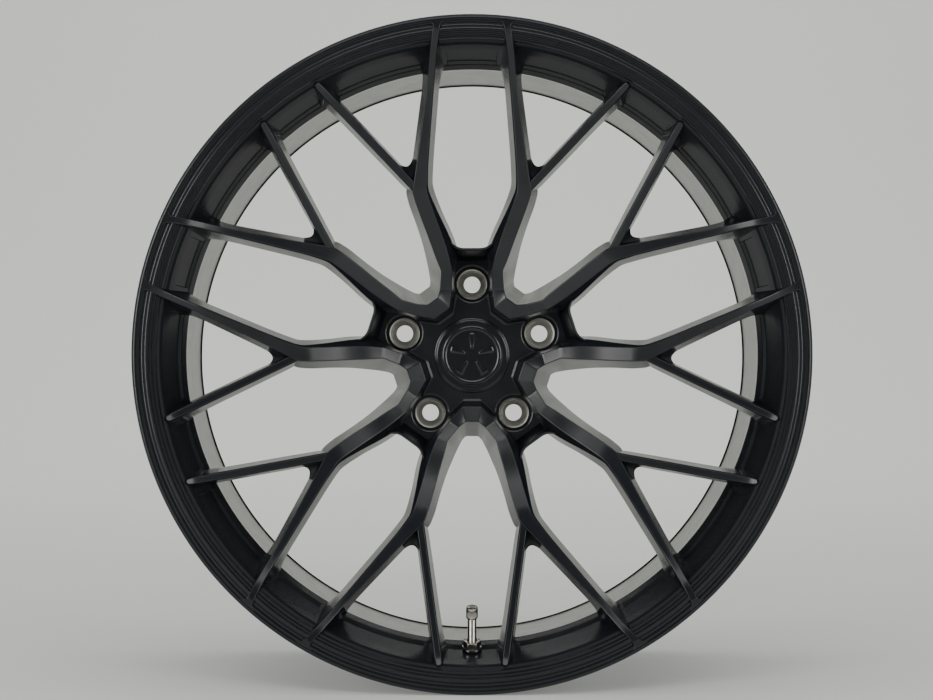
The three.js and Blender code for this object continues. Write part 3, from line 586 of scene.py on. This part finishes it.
# Radius and depth of each row up the inside of a lug hole, from the mounting face to the hub's face.
lug_rows = [
    (bolt_radius + 0.6, pad_depth), (bolt_radius, pad_depth - 0.6), (bolt_radius, sleeve_end),
    (sleeve_bore_radius, sleeve_end), (sleeve_bore_radius, seat_depth),
    (lug_pocket_radius - 0.3, seat_depth), (lug_pocket_radius, seat_depth - 0.3),
    (lug_pocket_radius, face_depth + 0.5), (lug_pocket_radius + 1.1, face_depth),
    (lug_pocket_radius + 1.4, face_depth),
]
lug_centre = np.array([0.0, lug_circle_radius])
face_outline = hub_outline(*hub_rows[0][:2])
outward = face_outline - lug_centre
outward /= np.linalg.norm(outward, axis=1, keepdims=True)
flat = np.ones((len(outward), 1))
hub_sections = np.array(
    [np.hstack([lug_centre + radius * outward, depth * flat]) for radius, depth in lug_rows]
    + [np.hstack([hub_outline(inner, outer), depth * flat]) for inner, outer, depth in hub_rows])


def ring_skin(name, sections, angle=0.0):
    """A skin through closed sections (stations, points, 3) in mm, whose last section joins the first."""
    faces = grid_faces(*sections.shape[:2], True, True)
    return mesh_object(name, world_points(spun(sections, angle)), [faces])


for k, angle in enumerate(turn_of):
    fifth_block = ring_skin(f"hub_fifth_{k + 1}", hub_sections, angle)
    finish_piece(fifth_block, satin_black, "forging", "forging_paint", f"hub_lug_{k + 1}")

# ---- Lug webs ----
# Between the two arms of a lug a web closes the window: a slope that rises from the hub's face to a
# thin front edge, with a fillet where it meets each arm.
web_fillet, web_straight_half = 15, 7
web_across = np.linspace(-half_width, half_width, 39)
into_fillet = np.clip(np.abs(web_across) - web_straight_half, 0, half_width - web_straight_half)
end_lift = web_fillet - np.sqrt(web_fillet ** 2 - into_fillet ** 2)
# Distance from the wheel's axis and depth of each corner of the web, the reach of its rounding, and the
# share of the fillet's lift that it takes.
web_corners = np.array([
    (95.8, 52.4), (94.6, 51.8), (93.2, 53.0), (88.8, 87.2), (85.4, 90), (82.0, 100), (91.8, 98), (95.8, 86),
])
web_reach = np.array([0.5, 0.7, 0.7, 3, 0.5, 0.5, 1, 1])
upper_share = np.array([1, 1, 1, 0.35, 0, 0, 0.5, 1])
web_loop = rounded(web_corners, web_reach, 3)
lift_loop = np.repeat(upper_share, len(web_loop) // len(web_corners))
web_sections = np.zeros((len(web_across), len(web_loop), 3))
web_sections[..., 0] = web_across[:, None]
web_sections[..., 1] = web_loop[:, 0] + end_lift[:, None] * lift_loop
web_sections[..., 2] = web_loop[:, 1]
for k, angle in enumerate(turn_of):
    web = carried(f"lug_web_{k + 1}", web_sections, angle)
    finish_piece(web, satin_black, "forging", "forging_paint")

# ---- Lug seats ----
# A steel sleeve with a 60 degree cone is pressed into each lug hole. It is left bare, so the turning
# marks show, and its chamfered front edge is bright.


def circles(profile, centre=(0.0, 0.0), sides=72):
    """Circles of (radius, depth) about a point of the wheel's face: (stations, points, 3) in mm."""
    profile = np.asarray(profile, float)
    turn = np.linspace(0, 2 * np.pi, sides, endpoint=False)
    radius, depth = np.broadcast_arrays(profile[:, :1], profile[:, 1:])
    across = centre[0] + radius * np.sin(turn)
    up = centre[1] + radius * np.cos(turn)
    return np.stack([across, up, np.broadcast_to(depth, across.shape)], axis=-1)


def metal(name, colour, roughness, mark_scale):
    """Bare metal: the paint's uneven colour and gloss, made metallic, with finer and deeper marks."""
    return paint(name, colour, roughness, metallic=1.0, mottle=0.08, grain=0.00004, grain_scale=mark_scale)


bare_steel = metal("bare_seat_steel", (0.62, 0.61, 0.58), 0.38, 900)
sleeve_radius, sleeve_bore = 13.8, 7.6
# Radius and depth: the chamfered front edge, the outside, the bore and the cone.
seat_corners = np.array([
    (12.6, 97.3), (13.7, 96.6), (sleeve_radius, 97.0), (sleeve_radius, 112), (sleeve_bore, 112),
    (sleeve_bore, 104), (8.1, 103.2), (12.0, 97.8), (12.3, 98.3),
])
seat_reach = np.array([0.1, 0.1, 0.1, 0.3, 0.3, 0.3, 0.3, 0.1, 0.1])
seat_loop = rounded(seat_corners, seat_reach)
for k, angle in enumerate(turn_of):
    seat = ring_skin(f"lug_seat_sleeve_{k + 1}", circles(seat_loop, lug_centre), angle)
    finish_piece(seat, bare_steel, "forging", "seat_steel", f"lug_seat_{k + 1}")

# ---- Centre cap ----
# A moulded black cap pushed into the bore: a flat rim with a fine groove, a skirt that a rubber ring
# grips, and an inlaid plate with a raised ring and five plain bars.
cap_plastic = paint("cap_plastic", (0.0060, 0.0070, 0.0095), 0.24, mottle=0.06, grain_scale=2200)
skirt_radius, ring_groove_radius = 31.4, 30.0
# Radius and depth: the plate's recess, the grooved front, the edge, the skirt with the rubber ring's
# groove, and the inside.
cap_profile = np.array([
    (0.3, 89.4), (27.2, 89.4), (27.2, 88.3), (27.6, 88.0), (31.4, 88.0), (32.4, 88.4), (32.7, 88.4),
    (32.9, 88.0), (33.1, 88.0), (cap_radius, 88.45), (cap_radius, 91.8), (31.5, 91.9),
    (skirt_radius, 96.3), (ring_groove_radius, 96.4), (ring_groove_radius, 99.0), (skirt_radius, 99.1),
    (skirt_radius, 102.4), (30.9, 102.9), (28.0, 102.9), (28.0, 91.9), (0.3, 91.9),
])
cap_line = filled(rounded(cap_profile, 0.15, closed=False), spacing=4, closed=False)
cap = carried("center_cap_body", circles(cap_line, sides=144))
finish_piece(cap, cap_plastic, "center_cap", "cap_plastic", "center_cap")

plate_black = paint("plate_black", (0.0070, 0.0080, 0.0105), 0.22, mottle=0.05, grain_scale=2600)
plate_radius, plate_face, plate_rear = 26.9, 88.5, 89.1
ring_inner, ring_end_slope = 24.2, 1.1
bar_inner, bar_outer = 6.5, 20.4
slope, relief = 1.2, 0.45
bar_half, bar_edge = math.radians(5), math.radians(5)
plate_radii = np.unique(np.round(np.concatenate([
    np.linspace(0.4, plate_radius, 40),
    [bar_inner, bar_inner + slope, bar_outer - slope, bar_outer],
    [ring_inner - slope, ring_inner, plate_radius - ring_end_slope],
]), 3))[:, None]
half_bay = np.concatenate([
    np.linspace(0, bar_half, 4, endpoint=False), [bar_half, bar_half + bar_edge],
    np.linspace(bar_half + bar_edge, sector, 14),
])
plate_turn = np.unique(np.round(np.concatenate([
    turn + side * half_bay for turn in turn_of for side in (1, -1)]) % (2 * np.pi), 7))
folded_turn = np.abs((plate_turn + sector) % (2 * sector) - sector)
# Each share is one on a bar or on the ring and zero off it, with a straight slope between.
bar_share = (np.clip((bar_half + bar_edge - folded_turn) / bar_edge, 0, 1)
             * np.clip((plate_radii - bar_inner) / slope, 0, 1)
             * np.clip((bar_outer - plate_radii) / slope, 0, 1))
ring_share = (np.clip((plate_radii - ring_inner + slope) / slope, 0, 1)
              * np.clip((plate_radius - plate_radii) / ring_end_slope, 0, 1))
plate_depth = plate_face - relief * np.maximum(bar_share, ring_share)
plate_front = np.stack(
    [plate_radii * np.sin(plate_turn), plate_radii * np.cos(plate_turn), plate_depth], axis=-1)
plate_back = plate_front[::-1] * (1, 1, 0) + (0, 0, plate_rear)
plate = carried("center_cap_plate", np.concatenate([plate_front, plate_back]))
finish_piece(plate, plate_black, "center_cap", "emblem", "center_cap_emblem")

# ---- Valve ----
# A clamp-in metal valve stands in the narrow bay opposite the top lug. Its nickel-plated stem is
# threaded, a hexagon nut clamps it over a rubber grommet, and a knurled cap with a seal closes it.
valve_radius = lip_radius - 36.2
valve_depth = 40
valve_tilt = math.radians(22.6)
stem_radius = 4.0


def on_valve(radius, height, turn):
    """Wheel points from a distance from the stem's axis, a height along it and a turn about it. The stem
    leans from straight inward towards the front."""
    across = radius * np.cos(turn)
    sideways = radius * np.sin(turn)
    up = -valve_radius + math.cos(valve_tilt) * height + math.sin(valve_tilt) * sideways
    depth = valve_depth - math.sin(valve_tilt) * height + math.cos(valve_tilt) * sideways
    return np.stack(np.broadcast_arrays(across, up, depth), axis=-1)


nickel = metal("nickel_plate", (0.55, 0.53, 0.49), 0.24, 1500)
around = np.linspace(0, 2 * np.pi, 60, endpoint=False)[None, :]
thread_low, thread_high, pitch, thread_deep = 2.2, 37.0, 1.0, 0.32
fade_in, fade_out = 1.5, 1.0
thread_height = np.arange(thread_low, thread_high, pitch / 8)
# Distance from the axis and height of the plain part of the stem: foot and head, then tip and bore.
stem_foot = np.array([
    (1.2, -11.9), (7.2, -11.9), (7.5, -11.6), (7.5, -9.4), (7.2, -9.1), (stem_radius, -9.1),
])
stem_tip = np.array([(stem_radius, 37.3), (3.3, 38.0), (2.2, 38.0), (2.2, 19.0), (1.2, 19.0)])
stem_height = np.concatenate([stem_foot[:, 1], thread_height, stem_tip[:, 1]])[:, None]
plain_radius = np.concatenate(
    [stem_foot[:, 0], np.full(len(thread_height), stem_radius), stem_tip[:, 0]])[:, None]
# The thread is a triangle wave that climbs one pitch a turn and fades out at both ends.
wave = (stem_height / pitch - around / (2 * np.pi)) % 1
fade = (np.clip((stem_height - thread_low) / fade_in, 0, 1)
        * np.clip((thread_high - stem_height) / fade_out, 0, 1))
threaded = fade * (plain_radius == stem_radius)
stem_skin = on_valve(plain_radius - thread_deep * threaded * np.abs(2 * wave - 1), stem_height, around)
stem = ring_skin("valve_stem_threaded", stem_skin)
finish_piece(stem, nickel, "forging", "valve_metal", "valve_stem")

nut_low, nut_high, nut_radius, nut_bore, nut_chamfer = 2.1, 8.1, 8.1, 4.3, 0.6
flat_radius = nut_radius * math.cos(math.radians(30))
nut_turn = np.linspace(0, 2 * np.pi, 144, endpoint=False)[None, :]
hexagon = flat_radius / np.cos(nut_turn % math.radians(60) - math.radians(30))
corner_drop, cone_start, cone_rise = 0.7, 0.15, 1.7
nut_height = np.concatenate([
    np.linspace(nut_low, nut_low + corner_drop, 5), np.linspace(nut_high - corner_drop, nut_high, 5),
])[:, None]
# A cone turned on each end takes the hexagon's corners off.
cone = flat_radius - cone_start + cone_rise * np.minimum(nut_height - nut_low, nut_high - nut_height)
nut_inside = np.array([
    (nut_bore + nut_chamfer, nut_high), (nut_bore, nut_high - nut_chamfer),
    (nut_bore, nut_low + nut_chamfer), (nut_bore + nut_chamfer, nut_low),
])
nut_skin = np.concatenate([
    on_valve(np.minimum(hexagon, cone), nut_height, nut_turn),
    on_valve(nut_inside[:, :1], nut_inside[:, 1:], nut_turn),
])
nut = ring_skin("valve_hex_nut", nut_skin)
finish_piece(nut, nickel, "forging", "valve_metal", "valve_nut")

knurls = 30
cap_turn = np.linspace(0, 2 * np.pi, knurls * 8, endpoint=False)[None, :]
# Distance from the axis, height and depth of the knurl, from the middle of the crown down the outside
# and back up the inside.
cap_rows = np.array([
    (0.2, 41.6, 0), (4.4, 41.6, 0), (5.0, 41.3, 0), (5.2, 40.8, 0), (5.2, 39.6, 0), (5.2, 39.2, 0.28),
    (5.2, 36.0, 0.28), (5.2, 33.0, 0.28), (5.2, 32.6, 0), (5.2, 31.3, 0), (5.0, 31.0, 0),
    (4.3, 31.0, 0), (4.3, 35.0, 0), (4.3, 39.8, 0), (0.2, 39.8, 0),
])
cap_outside = cap_rows[:, :1] - cap_rows[:, 2:] * (0.5 - 0.5 * np.cos(knurls * cap_turn))
valve_cap = carried("valve_cap_knurled", on_valve(cap_outside, cap_rows[:, 1:2], cap_turn))
finish_piece(valve_cap, nickel, "valve_cap", "valve_metal", "valve_cap")

# ---- Carried-over parts ----
# The washer, the valve core and its pin are turned parts, and the rubber parts are plain rings, so the
# CAD shapes stay and take their finish here.
brass = metal("core_brass", (0.55, 0.40, 0.17), 0.30, 1300)
rubber = paint("black_rubber", (0.012, 0.012, 0.012), 0.72, mottle=0.2, grain=0.00006, grain_scale=700)
for node, material in (("valve_washer", nickel), ("valve_core", brass), ("valve_core_pin", brass),
                       ("valve_grommet", rubber), ("valve_cap_seal", rubber), ("center_cap_ring", rubber)):
    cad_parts[node].data.materials.clear()
    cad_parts[node].data.materials.append(material)
